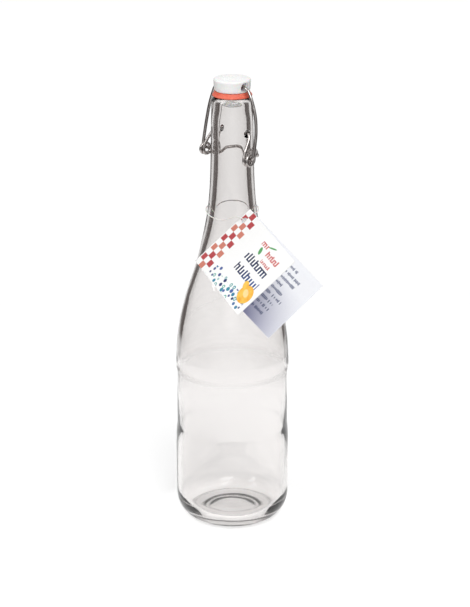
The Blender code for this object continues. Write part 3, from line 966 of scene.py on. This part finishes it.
def paper_base(name, tone):
    """A material of smooth card, and the colour that its fibres give it."""
    made = Shader(name, roughness=0.42, specular_ior_level=0.35)
    fibre = made.noise(700.0, 4.0, 0.6)
    paper = made.ramp(fibre, (0.3, tuple(c * 0.97 for c in tone)), (0.7, tone))
    made.roughness(made.remap(fibre, 0.3, 0.7, 0.36, 0.5))
    made.bump(fibre, 0.08, 0.05 * MM)
    return made, paper


def cover_print():
    """The cover: three rows of checks along the fold, bubbles, a lemon and lettering that spells nothing.

    Places and sizes are in millimetres, u along the leaf from the fold and v down the fold.
    """
    made, colour = paper_base("printed_cover", (0.93, 0.93, 0.92))
    u, v = leaf_place(made)

    cell_u, cell_v = 5.5, 52.0 / 11
    checked_rows = 3
    row = made.calc("FLOOR", made.calc("DIVIDE", u, cell_u))
    cell = made.calc("FLOOR", made.calc("DIVIDE", v, cell_v))
    odd = made.calc("MODULO", made.calc("ADD", row, cell), 2.0)
    near_fold = made.calc("LESS_THAN", u, checked_rows * cell_u)
    checks = made.calc("MULTIPLY", made.calc("GREATER_THAN", odd, 0.5), near_fold)
    pair = made.calc("FLOOR", made.calc("DIVIDE", cell, 2.0))
    second = made.calc("GREATER_THAN", made.calc("MODULO", pair, 2.0), 0.5)
    weave = made.noise(900.0, 2.0, 0.5)
    check_colour = made.mix(second, (0.42, 0.02, 0.032), (0.58, 0.18, 0.12))
    check_colour = made.mix(made.calc("MULTIPLY", weave, 0.16), check_colour, (0.9, 0.5, 0.45))
    colour = made.mix(checks, colour, check_colour)

    spot_scale = 0.25
    field = made.node("ShaderNodeCombineXYZ", {0: u, 1: v}).outputs[0]
    cells = made.node("ShaderNodeTexVoronoi", {"Vector": field, "Scale": spot_scale, "Randomness": 0.9},
                      voronoi_dimensions="2D")
    tint = made.node("ShaderNodeSeparateColor", {0: cells.outputs["Color"]})
    size = made.calc("MULTIPLY_ADD", tint.outputs[0], 0.22, 0.2)
    spot = made.calc("LESS_THAN", cells.outputs["Distance"], size)
    hollow = made.calc("GREATER_THAN", cells.outputs["Distance"], made.calc("MULTIPLY", size, 0.45))
    hollow = made.calc("MAXIMUM", hollow, made.calc("LESS_THAN", tint.outputs[1], 0.6))
    edge = made.calc("ADD", 44.5, made.calc("MULTIPLY", tint.outputs[2], -5.0))
    low_edge = made.calc("GREATER_THAN", v, edge)
    spots = all_of(made, spot, hollow, low_edge, inside(made, u, 17.5, 69.0), made.calc("LESS_THAN", v, 51.4))
    hues = made.ramp(tint.outputs[1], (0.0, (0.03, 0.04, 0.14)), (0.35, (0.06, 0.12, 0.36)),
                     (0.65, (0.03, 0.30, 0.36)), (0.9, (0.12, 0.42, 0.36)))
    colour = made.mix(spots, colour, hues)

    ink = made.remap(v, 20.0, 36.0, 0.0, 1.0)
    ink_colour = made.mix(made.calc("MULTIPLY", ink, made.remap(u, 40.0, 60.0, 0.0, 1.0), clamp=True),
                          (0.018, 0.028, 0.085), (0.03, 0.10, 0.34))
    # Each row of lettering: place, height, start, end, pitch and seed
    blue_rows = ((21.8, 7.2, 34.0, 63.5, 3.1, 3.0), (31.6, 7.2, 34.5, 66.0, 3.1, 17.0))
    for blue_row in blue_rows:
        colour = made.mix(lettering(made, u, v, *blue_row), colour, ink_colour)

    fruit = ellipse(made, u, v, 63.2, 39.6, 7.0, 6.8, 20.0)
    tip = ellipse(made, u, v, 57.4, 35.6, 4.2, 2.6, 42.0)
    zest = made.noise(260.0, 3.0, 0.5)
    lemon = made.ramp(zest, (0.35, (0.86, 0.40, 0.04)), (0.6, (0.93, 0.56, 0.09)))
    colour = made.mix(made.calc("MAXIMUM", fruit, tip), colour, lemon)
    glow = ellipse(made, u, v, 62.8, 38.8, 3.4, 2.2, 30.0)
    colour = made.mix(made.calc("MULTIPLY", glow, 0.55), colour, (0.99, 0.85, 0.5))

    leaf_green = (0.10, 0.36, 0.12)
    for leaf in ((41.2, 13.0, 3.0, 1.5, 60.0), (48.5, 5.7, 4.2, 0.6, -20.0)):
        colour = made.mix(ellipse(made, u, v, *leaf), colour, leaf_green)
    red_rows = (
        (8.0, 4.6, 36.5, 45.0, 2.4, 31.0),
        (11.0, 5.0, 48.0, 64.0, 2.4, 47.0),
        (17.0, 3.0, 49.0, 61.0, 2.2, 59.0),
    )
    ink_red = (0.56, 0.06, 0.06)
    for red_row in red_rows:
        colour = made.mix(lettering(made, u, v, *red_row), colour, ink_red)
    made.colour(colour)
    return made.material


def inside_print():
    """The inside of the card: a pale lavender ground with lines of fine text that spell nothing, darkened in
    blue-grey towards the fold and the foot by painted shade from the cover.
    """
    made, colour = paper_base("printed_inside", (0.93, 0.94, 0.97))
    u, v = leaf_place(made)
    # Painted shade of the cover: the leaf darkens in blue-grey towards its foot and towards the fold, where
    # the open cover shades it.
    painted_cover_shade = made.calc("MULTIPLY", made.remap(v, 16.0, 52.0, 0.0, 1.0), made.remap(u, 46.0, 80.0, 1.0, 0.2))
    colour = made.mix(painted_cover_shade, colour, (0.2, 0.2, 0.37))
    line_pitch, letter_pitch = 4.6, 0.95
    line = made.calc("FLOOR", made.calc("DIVIDE", v, line_pitch))
    local = made.calc("MODULO", v, line_pitch)
    place_in_line = made.calc("DIVIDE", u, letter_pitch)
    letter = made.calc("FLOOR", place_in_line)
    chance = chance_of(made, made.calc("ADD", made.calc("MULTIPLY", line, 37.0), letter))
    half = made.calc("MULTIPLY_ADD", made.calc("GREATER_THAN", chance, 0.6), 0.4, 0.75)
    tall = made.calc("LESS_THAN", made.calc("ABSOLUTE", made.calc("SUBTRACT", local, 2.2)), half)
    word = made.calc("GREATER_THAN", chance, 0.16)
    gap = made.calc("LESS_THAN", made.calc("FRACT", place_in_line), 0.72)
    line_end = made.calc("MULTIPLY_ADD", chance_of(made, line), 9.0, 53.0)
    text = all_of(made, tall, word, gap, inside(made, u, 7.0, line_end), inside(made, v, 4.6, 46.0))
    colour = made.mix(made.calc("MULTIPLY", text, 0.92), colour, (0.05, 0.07, 0.17))
    made.colour(colour)
    return made.material


def plain_card(name, tone):
    made, colour = paper_base(name, tone)
    made.colour(colour)
    return made.material


def build_card():
    cover, printed = cover_print(), inside_print()
    blank = plain_card("card_back", (0.90, 0.90, 0.89))
    edge = plain_card("card_edge", (0.86, 0.86, 0.84))
    back = build_leaf("card_back_leaf", 0.0, -FOLD_OFFSET, -0.5 * MM, 7.0 * MM, (printed, blank, edge))
    place(back, "tag", "white_card", replaces=["tag_back_leaf"])
    front = build_leaf("card_front_leaf", CARD_OPEN_ANGLE, FOLD_OFFSET, 0.9 * MM, 0.0, (cover, printed, edge))
    place(front, "tag_cover", "white_card", replaces=["tag_front_leaf"])
    build_crease(plain_card("card_fold", (0.92, 0.91, 0.90)))


# ---------------------------------------------------------------- studio


def build_camera():
    """The photo's camera: level from side to side, pitched down at the bottle from in front."""
    turn = math.radians(CAMERA_AZIMUTH)
    pitch = math.radians(CAMERA_PITCH)
    data = bpy.data.cameras.new("photo_camera")
    data.sensor_fit = "VERTICAL"
    data.sensor_height = 36.0
    data.lens = CAMERA_LENS
    camera = bpy.data.objects.new("photo_camera", data)
    bpy.context.scene.collection.objects.link(camera)
    right = Vector((math.cos(turn), math.sin(turn), 0))
    back = Vector((math.sin(turn), -math.cos(turn), 0))
    camera.location = back * CAMERA_DISTANCE + Vector((0, 0, CAMERA_HEIGHT)) + right * CAMERA_SIDESTEP
    forward = -back * math.cos(pitch) - Vector((0, 0, math.sin(pitch)))
    camera.rotation_euler = forward.to_track_quat("-Z", "Y").to_euler()
    bpy.context.scene.camera = camera


def build_floor():
    """A pale disc that fades out at its edge. It glows a little all over, and a painted pool of light glows
    brighter round the bottle's base.
    """
    bpy.ops.mesh.primitive_circle_add(vertices=128, radius=FLOOR_RADIUS, fill_type="NGON")
    floor = bpy.context.object
    floor.name = "studio_floor"
    floor.location.z = -0.05 * MM
    made = Shader("pale_floor", roughness=0.7)
    tone = made.noise(3.0, 3.0, 0.5)
    made.colour(made.ramp(tone, (0.3, 0.92), (0.7, 0.94)))
    reach = made.node("ShaderNodeVectorMath", {0: made.position()}, operation="LENGTH").outputs["Value"]
    made.surface.inputs["Emission Color"].default_value = (1.0, 1.0, 1.0, 1.0)
    # Painted light: the floor glows brighter in a pool round the bottle's base, which lights the heel from
    # below and hides the contact shadow.
    painted_light_pool = made.remap(reach, BODY_RADIUS, BODY_RADIUS * 1.5, PAINTED_LIGHT_POOL_GLOW, FLOOR_GLOW)
    made.feed(made.surface.inputs["Emission Strength"], painted_light_pool)
    made.feed(made.surface.inputs["Alpha"], made.remap(reach, FLOOR_FADE_START, FLOOR_RADIUS, 1.0, 0.0))
    floor.data.materials.append(made.material)


def build_softbox(name, azimuth, elevation, distance, width, height, power):
    """An area light that faces the middle of the bottle."""
    data = bpy.data.lights.new(name, "AREA")
    data.shape = "RECTANGLE"
    data.size = width
    data.size_y = height
    data.energy = power
    light = bpy.data.objects.new(name, data)
    bpy.context.scene.collection.objects.link(light)
    a, e = math.radians(azimuth), math.radians(elevation)
    direction = Vector((math.sin(a) * math.cos(e), -math.cos(a) * math.cos(e), math.sin(e)))
    light.location = direction * distance + Vector((0, 0, LIGHTS_AIM_HEIGHT))
    light.rotation_euler = (-direction).to_track_quat("-Z", "Y").to_euler()


def build_world():
    """A white sweep all round, and for reflections and light a room with dark sides and a bright front."""
    world = bpy.data.worlds.new("studio")
    bpy.context.scene.world = world
    world.use_nodes = True
    tree = world.node_tree
    made = Nodes(tree)
    direction = made.node("ShaderNodeTexCoord").outputs["Generated"]
    turn = {"Vector": direction, "Rotation": (0, 0, math.radians(CAMERA_AZIMUTH))}
    turned = made.node("ShaderNodeMapping", turn, vector_type="TEXTURE")
    split = made.node("ShaderNodeSeparateXYZ", {"Vector": turned.outputs[0]})
    heading = made.calc("ARCTAN2", split.outputs[0], split.outputs[1])
    off_line = made.calc("DIVIDE", made.calc("ABSOLUTE", heading), math.pi)
    low = made.ramp(off_line, (0.0, 1.0), (0.08, 1.0), (0.15, ROOM_DARK), (0.7, ROOM_DARK), (0.83, 0.4),
                    (1.0, 0.5))
    middle = made.ramp(off_line, (0.0, 0.75), (0.2, 0.4), (0.45, 0.42), (0.75, 0.36), (0.86, 0.4), (1.0, 1.2))
    upper = made.mix(made.remap(split.outputs[2], 0.35, 0.75, 0.0, 1.0), middle, ROOM_OVERHEAD)
    room = made.mix(made.remap(split.outputs[2], -0.02, 0.12, 0.0, 1.0), low, upper)
    path = made.node("ShaderNodeLightPath")
    unreflected = made.calc("LESS_THAN", path.outputs["Glossy Depth"], 0.5)
    seen_through = made.calc("MULTIPLY", path.outputs["Is Transmission Ray"], unreflected)
    seen = made.calc("MAXIMUM", path.outputs["Is Camera Ray"], seen_through)
    made.feed(tree.nodes["Background"].inputs["Color"], made.mix(seen, room, SWEEP_WHITE))
    tree.nodes["Background"].inputs["Strength"].default_value = 1.0


def main():
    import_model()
    build_camera()
    build_world()
    build_floor()
    for name, (azimuth, *rest) in SOFTBOXES.items():
        build_softbox(name, CAMERA_AZIMUTH + azimuth, *rest)
    build_bottle(glass_material())
    build_stopper(plastic_material())
    build_gasket(rubber_material())
    build_wires(steel_material())
    build_thread(thread_material())
    build_card()
    bpy.context.scene.view_settings.view_transform = "Standard"


main()
